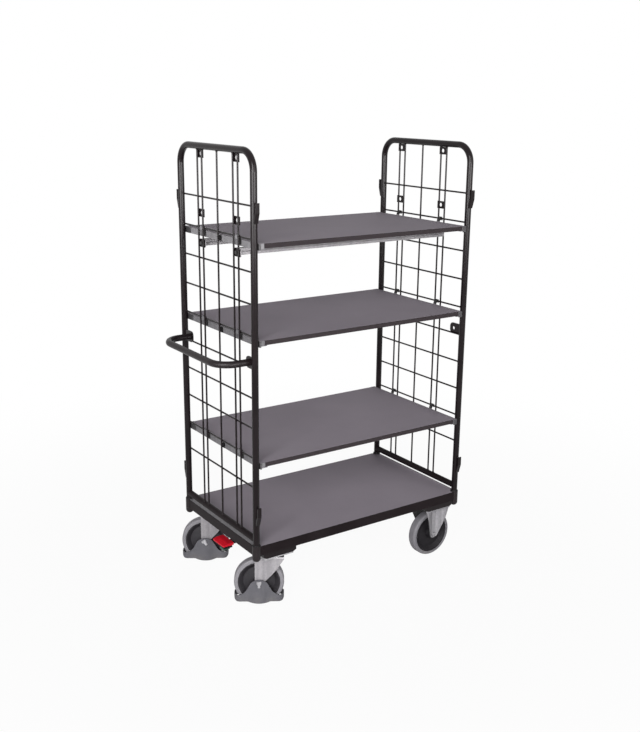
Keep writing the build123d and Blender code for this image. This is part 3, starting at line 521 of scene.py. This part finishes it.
def bead(radius, thick):
    """Profile of a low rounded bead round a rod."""
    return [(radius, -thick), (radius + 0.7 * thick, -0.6 * thick), (radius + thick, 0.0),
            (radius + 0.7 * thick, 0.6 * thick), (radius, thick)]


pair_wires = [centre + half * pair_gap for centre in pair_centres for half in (-0.5, 0.5)]
weld_bead = bead(wire_r, bead_thick)
for wall, side in (("handle_wall", 1), ("plain_wall", -1)):
    mesh_low, mesh_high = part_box(f"{wall}_mesh")
    tube_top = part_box(f"{wall}_frame")[1][2]
    plane_x = (mesh_low[0] + mesh_high[0]) / 2
    row_x = plane_x + side * wire_layer
    upright_x = plane_x - side * wire_layer
    welds = bmesh.new()
    for row in range(row_count):
        height = tube_top - tube_r - highest_row_drop - row * row_pitch
        for end in (mesh_low[1], mesh_high[1]):
            turned(welds, (row_x, end, height), (0, 1, 0), weld_bead, bead_steps)
    for along in sorted([middle_wire, *pair_wires]):
        for end in (mesh_low[2], mesh_high[2]):
            turned(welds, (upright_x, side * along, end), (0, 0, 1), weld_bead, bead_steps)
    finish_piece(welds, f"{wall}_welds", "trolley", frame_finish)

# %% [markdown]
# ## Painted shade at the shelf corners
# Dark angled sheets round the shelf corners are painted shade, where the posts and walls shade the
# ends: they reach 50 mm along the sides, and further along the front at the fixed end than at the
# handle end. Each starts as a cube. Only its two outer faces stay, the edge between them is rounded,
# and solidify gives the angle its wall.

# %% Painted shade at the shelf corners
shelves = ("top", "middle", "lower")
shade_reach_y = 0.050
handle_shade_reach = 0.005
fixed_shade_reach = 0.0185
shade_height = 0.0195
shade_wall = 0.0007
shade_round = 0.003
shade_out = 0.0029
shade_down = 0.0005


def corner_shade_piece(shape, corner, inward, reach_x):
    """Angled dark sheet of painted shade round one shelf corner, whose top outer point is given."""
    points = bmesh.ops.create_cube(shape, size=1.0)["verts"]
    bmesh.ops.scale(shape, vec=(reach_x, shade_reach_y, shade_height), verts=points)
    half = Vector((inward[0] * reach_x, inward[1] * shade_reach_y, -shade_height)) / 2
    middle = Vector(corner) + half
    bmesh.ops.translate(shape, vec=middle, verts=points)
    faces = {face for point in points for face in point.link_faces}
    outer = []
    for face in faces:
        away = face.calc_center_median() - middle
        if away.x * inward[0] < -reach_x / 4 or away.y * inward[1] < -shade_reach_y / 4:
            outer.append(face)
    bmesh.ops.delete(shape, geom=[face for face in faces if face not in outer], context="FACES")
    ridge = [edge for edge in outer[0].edges if edge in outer[1].edges[:]]
    rounded = bmesh.ops.bevel(
        shape, geom=ridge, offset=shade_round, affect="EDGES", segments=3, profile=0.5, material=-1
    )
    walls = list(set(rounded["faces"]) | {face for face in outer if face.is_valid})
    bmesh.ops.recalc_face_normals(shape, faces=walls)
    bmesh.ops.solidify(shape, geom=walls, thickness=shade_wall)


for shelf in shelves:
    board_low, board_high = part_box(f"{shelf}_shelf_board")
    handle_end = (board_low[0] - shade_out, 1, handle_shade_reach)
    fixed_end = (board_high[0] + shade_out, -1, fixed_shade_reach)
    corner_shades = bmesh.new()
    for x, inward_x, reach_x in (handle_end, fixed_end):
        for y, inward_y in ((board_low[1] - shade_out, 1), (board_high[1] + shade_out, -1)):
            corner_shade_piece(corner_shades, (x, y, board_high[2] - shade_down), (inward_x, inward_y), reach_x)
    finish_piece(corner_shades, f"{shelf}_shelf_corner_shades", f"{shelf}_shelf", corner_shade_finish)

# %% [markdown]
# ## Painted light on the deck end
# At the handle end a thin grey strip lies on the deck board under the crossbar. It is painted light:
# it stands for the light that reaches the end of the deck below the crossbar. It is made like a cut
# length of profile: a flat section is drawn and extruded across the trolley. A scaled cube would be
# quicker, but it would have no slanted edges to catch the light.

# %% Painted light strip on the deck end
strip_width = 0.017
strip_thick = 0.0012
strip_outline = ((0, 0), (1, 0), (1, 0.4), (0.94, 1), (0.06, 1), (0, 0.4))


def profile_bar(shape, section, start_y, length):
    """Extrude a closed section of (x, z) points across the trolley."""
    face = shape.faces.new([shape.verts.new((x, start_y, z)) for x, z in section])
    grown = bmesh.ops.extrude_face_region(shape, geom=[face], use_keep_orig=True)["geom"]
    far = [item for item in grown if isinstance(item, bmesh.types.BMVert)]
    bmesh.ops.translate(shape, vec=(0, length, 0), verts=far)


deck_low, deck_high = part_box("deck_board")
rail_low, rail_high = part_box("handle_end_rail")
section = [
    (deck_low[0] + strip_width * x, deck_high[2] + strip_thick * z) for x, z in strip_outline
]
strip = bmesh.new()
profile_bar(strip, section, rail_low[1], rail_high[1] - rail_low[1])
# Painted light: the strip stands for the light on the deck end under the crossbar.
finish_piece(strip, "deck_end_painted_light", "trolley", painted_light_strip_finish)

# %% [markdown]
# ## Shelf buffers
# Every shelf end carries a rubber buffer near its middle, which stops the steel from rattling on
# the wall. It is a short length of profile as well, so the helper of the strip makes it from a
# section with slanted corners.

# %% Shelf buffers
sheet_thick = 0.002
buffer_out = 0.006
buffer_width = 0.010
buffer_off_middle = 0.009
buffer_outline = (
    (0, -0.0190), (0.5, -0.0190), (1, -0.0165), (1, -0.0035), (0.5, -0.001), (0, -0.001)
)
for shelf in shelves:
    board_low, board_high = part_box(f"{shelf}_shelf_board")
    buffers = bmesh.new()
    for sheet_x, out in ((board_low[0] - sheet_thick, -1), (board_high[0] + sheet_thick, 1)):
        section = [(sheet_x + out * buffer_out * x, board_high[2] + z) for x, z in buffer_outline]
        start_y = out * buffer_off_middle - buffer_width / 2
        profile_bar(buffers, section, start_y, buffer_width)
    finish_piece(buffers, f"{shelf}_shelf_buffers", f"{shelf}_shelf", seal_finish)

# %% [markdown]
# ## Washers
# A washer lies under each bolt head of the tie rails and spreads its pressure. It could be a
# cylinder with a hole cut through it. Spinning its section needs no cut, and one slanted corner of
# the section gives the rim a fine bright line.

# %% Washers
head_thick = 0.005


def washer(bore, rim, thick):
    """Profile of a flat washer that lies on the plane of height 0."""
    edge = 0.3 * thick
    return [(bore, 0.0), (rim, 0.0), (rim, thick - edge), (rim - edge, thick), (bore, thick)]


bolts_low, bolts_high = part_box("tie_rail_bolts")
tie_z = (bolts_low[2] + bolts_high[2]) / 2
tie_washer = washer(bore=0.0045, rim=0.0085, thick=0.0012)
washers = bmesh.new()
for x, out in ((bolts_low[0] + head_thick, -1), (bolts_high[0] - head_thick, 1)):
    for centre in pair_centres:
        turned(washers, (x, -out * centre, tie_z), (out, 0, 0), tie_washer)
finish_piece(washers, "tie_rail_washers", "trolley", black_bolt_finish)

# %% [markdown]
# ## Post seals
# A rubber seal sits round each post on its socket, so that water stays out of the base. It tapers
# towards the post like a collar. A spun profile has the taper from the start, so nothing has to be
# scaled or rounded later.

# %% Post seals
socket_r = 0.014
seal_bore = 0.01105
seal_steps = 24
seal_profile = [
    (seal_bore, 0.0), (0.0136, 0.0), (0.0134, 0.0012), (0.0122, 0.0034), (seal_bore, 0.0036)
]
sockets_low, sockets_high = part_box("corner_sockets")
seals = bmesh.new()
for x in (sockets_low[0] + socket_r, sockets_high[0] - socket_r):
    for y in (sockets_low[1] + socket_r, sockets_high[1] - socket_r):
        turned(seals, (x, y, sockets_high[2]), (0, 0, 1), seal_profile, seal_steps)
finish_piece(seals, "post_seals", "trolley", seal_finish)

# %% [markdown]
# ## Tyre rings
# Every tyre has a thin raised ring on both sides, where the two halves of its mould met the side
# plates. The rings turn with their wheels, so their axle comes from the wheel's joint. That is
# right for the swivel casters too, which stand turned.

# %% Tyre rings
ring_off = 0.017
ring_steps = 56
ring_profile = [(0.0745, -0.0003), (0.0748, 0.0005), (0.0754, 0.0005), (0.0757, -0.0003)]
joint_axis = {joint["child"]: Vector(joint["axis"]) for joint in frame["joints"]}
for wheel, rubber in (
    ("front_swivel", tyre_finish),
    ("rear_swivel", tyre_finish),
    ("front_fixed", shaded_fixed_tyre_finish),
    ("rear_fixed", shaded_fixed_tyre_finish),
):
    tyre_low, tyre_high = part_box(f"{wheel}_tyre")
    hub = (Vector(tyre_low) + Vector(tyre_high)) / 2
    axle = joint_axis[f"{wheel}_wheel"]
    rings = bmesh.new()
    for side in (-1, 1):
        turned(rings, hub + side * ring_off * axle, side * axle, ring_profile, ring_steps)
    finish_piece(rings, f"{wheel}_tyre_rings", f"{wheel}_wheel", rubber)

# %% [markdown]
# ## Floor
# The trolley stands on a white studio ground. The floor is a large pale sheet that keeps its
# shadow. Seen by the camera or mirrored in metal it is mostly white, so the ground and the
# background meet without a line. Stronger lamps would whiten the floor too, but they would also
# wash out the colours of the trolley.

# %% Floor
floor_half = 30.0
white = (1.0, 1.0, 1.0, 1.0)
floor_grey = (0.5, 0.5, 0.5, 1.0)
shadow_share = 0.05
shadow_reach = (0.7, 2.6)


def shown_as_background(start):
    """1 for rays from the camera, off a shiny surface or through a clear one, else 0."""
    rays = ("Is Camera Ray", "Is Glossy Ray", "Is Transmission Ray")
    return sum(start.add("ShaderNodeLightPath", out=ray) for ray in rays) > 0.5


ground = bmesh.new()
bmesh.ops.create_grid(ground, x_segments=1, y_segments=1, size=floor_half)
floor_mesh = bpy.data.meshes.new("studio_floor")
ground.to_mesh(floor_mesh)
ground.free()
floor = bpy.data.objects.new("studio_floor", floor_mesh)
scene.collection.objects.link(floor)

floor_finish = bpy.data.materials.new("studio_floor")
floor_finish.use_nodes = True
floor_finish.node_tree.nodes.clear()
start = Shade(floor_finish.node_tree)
sheet = start.add("ShaderNodeBsdfDiffuse", None, {"Color": floor_grey})
glow = start.add("ShaderNodeEmission", None, {"Color": white, "Strength": 1.0})
spot = start.add("ShaderNodeTexCoord", out="Object")
away = start.add("ShaderNodeVectorMath", {"operation": "LENGTH"}, {0: spot}, out="Value")
white_share = (1.0 - shadow_share) + shadow_share * away.step(*shadow_reach)
share = white_share * shown_as_background(start)
both = start.add("ShaderNodeMixShader", None, {0: share, 1: sheet, 2: glow})
start.add("ShaderNodeOutputMaterial", None, {0: both})
floor_mesh.materials.append(floor_finish)
print("floor of", 2 * floor_half, "m")

# %% [markdown]
# ## Background
# The world is the backdrop, and it fills the shadows from all round. Seen by the camera or mirrored
# in metal it is white. As a light it is weaker, and weakest overhead: the boards look straight up
# and would otherwise turn paler than the upright pieces.

# %% Background
horizon_fill = 0.7
overhead_fill = 0.05

world = bpy.data.worlds.new("studio")
scene.world = world
world.use_nodes = True
world.node_tree.nodes.clear()
sky = Shade(world.node_tree)
steep = sky.add("ShaderNodeTexCoord", out="Generated").along(2)
fill_strength = horizon_fill - (horizon_fill - overhead_fill) * steep.step(low=0.05, high=0.65)
fill = sky.add("ShaderNodeBackground", None, {0: white, 1: fill_strength})
plain = sky.add("ShaderNodeBackground", None, {0: white, 1: 1.0})
shown = shown_as_background(sky)
backdrop = sky.add("ShaderNodeMixShader", None, {0: shown, 1: fill, 2: plain})
sky.add("ShaderNodeOutputWorld", None, {0: backdrop})
print("background made:", world.name)

# %% [markdown]
# ## Lamps
# Soft light comes from the front, stronger from the handle end. Two wide low panels stand left and
# right of the camera. Upright tubes and wires mirror them as bright streaks, which makes them read
# as round. The panels are for mirroring alone, so they add no light to dull surfaces. The lamp
# behind the trolley does the opposite: it lights the far sides, and isn't mirrored, so the boards
# don't glare.

# %% Lamps
trolley_middle = (0.0, 0.0, 0.7)
panel_height = 1.2
panel_size = (2.8, 0.9)
panel_power = 92.0


def soft_box(name, place, aim, size, power):
    """A soft lamp of a width and a height that looks at a point."""
    data = bpy.data.lights.new(name, "AREA")
    data.shape = "RECTANGLE"
    data.size, data.size_y = size
    data.energy = power
    lamp = bpy.data.objects.new(name, data)
    lamp.rotation_euler = (Vector(aim) - Vector(place)).to_track_quat("-Z", "Y").to_euler()
    lamp.location = place
    scene.collection.objects.link(lamp)
    return lamp


soft_box("key_light", (-5.4, -5.0, 3.2), trolley_middle, size=(4.0, 4.0), power=710.0)
soft_box("front_light", (1.6, -6.0, 2.6), trolley_middle, size=(3.5, 3.5), power=125.0)
back_light = soft_box("back_light", (4.2, 6.2, 1.9), trolley_middle, size=(4.0, 3.0), power=260.0)
back_light.visible_glossy = False
for name, x, y in (("left_panel", -3.2, -1.42), ("right_panel", -0.12, -3.5)):
    panel_aim = (0.0, 0.0, panel_height)
    panel = soft_box(name, (x, y, panel_height), panel_aim, panel_size, panel_power)
    panel.visible_diffuse = False
scene.view_settings.view_transform = "Standard"
print("lamps placed:", len(bpy.data.lights))
